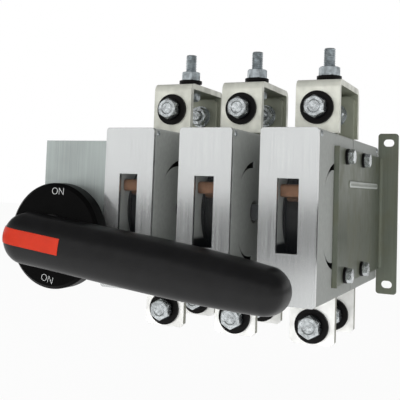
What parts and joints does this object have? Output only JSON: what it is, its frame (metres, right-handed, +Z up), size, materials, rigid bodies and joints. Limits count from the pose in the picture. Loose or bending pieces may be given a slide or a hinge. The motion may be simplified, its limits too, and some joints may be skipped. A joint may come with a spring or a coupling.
{
  "type": "changeover switch",
  "caption": "Three-pole changeover switch with bridging bars, two switch units back to back between steel side plates, and a long front lever that turns over a round position disc.",
  "frame": {"origin": "wall face of the right mounting flange, on its slot line, at mid height of the poles", "axes": "+Z up, +X to the right seen from the front, +Y into the wall; the lever is at the front, towards -Y"},
  "size_m": [0.275, 0.2683, 0.242],
  "materials": {
    "side_plate": "zinc-plated and passivated sheet, grey-green",
    "zinc_hardware": "bright zinc",
    "stud_steel": "dull zinc",
    "black_washer": "black, matt",
    "shaft_plastic": "dark grey, matt",
    "pole_moulding": "grey thermoset moulding",
    "pole_cover": "silver-grey, fine brushed",
    "clear_pane": "clear",
    "rotor_moulding": "black moulding",
    "copper": "bare copper, dull",
    "tinned_bar": "tinned copper, satin",
    "front_panel": "brushed",
    "handle_black": "satin black",
    "handle_red": "satin red"
  },
  "bodies": {
    "frame": {"right_side_plate": "side_plate", "left_side_plate": "side_plate", "tie_rods": "zinc_hardware", "tie_rod_washers": "black_washer", "pole_spacers": "shaft_plastic", "front_pole_1": "pole_moulding", "front_pole_2": "pole_moulding", "front_pole_3": "pole_moulding", "rear_pole_1": "pole_moulding", "rear_pole_2": "pole_moulding", "rear_pole_3": "pole_moulding", "front_cover_1": "pole_cover", "front_cover_2": "pole_cover", "front_cover_3": "pole_cover", "rear_cover_1": "pole_cover", "rear_cover_2": "pole_cover", "rear_cover_3": "pole_cover", "front_windows": "clear_pane", "rear_windows": "clear_pane", "front_shaft": "shaft_plastic", "rear_shaft": "shaft_plastic", "front_drums": "rotor_moulding", "rear_drums": "rotor_moulding", "front_contacts": "copper", "rear_contacts": "copper", "bridge_bar_1": "tinned_bar", "bridge_bar_2": "tinned_bar", "bridge_bar_3": "tinned_bar", "front_upper_terminals": "tinned_bar", "rear_upper_terminals": "tinned_bar", "front_lower_terminals": "tinned_bar", "rear_lower_terminals": "tinned_bar", "terminal_bolts": "zinc_hardware", "terminal_washers": "black_washer", "terminal_plain_washers": "zinc_hardware", "terminal_spring_washers": "zinc_hardware", "terminal_nuts": "zinc_hardware", "bridge_studs": "stud_steel", "bridge_stud_nuts": "zinc_hardware", "bridge_stud_washers": "black_washer", "mechanism_housing": "side_plate", "front_panel": "front_panel", "handle_collar": "handle_black", "handle_disc": "handle_black"},
    "lever": {"handle_grip": "handle_black", "handle_insert": "handle_red"}
  },
  "joints": [
    {"name": "lever_turn", "type": "hinge", "parent": "frame", "child": "lever", "pos_m": [-0.217, -0.24, -0.0245], "axis": [0, 1, 0], "range_deg": [-96.6, 83.4]}
  ]
}
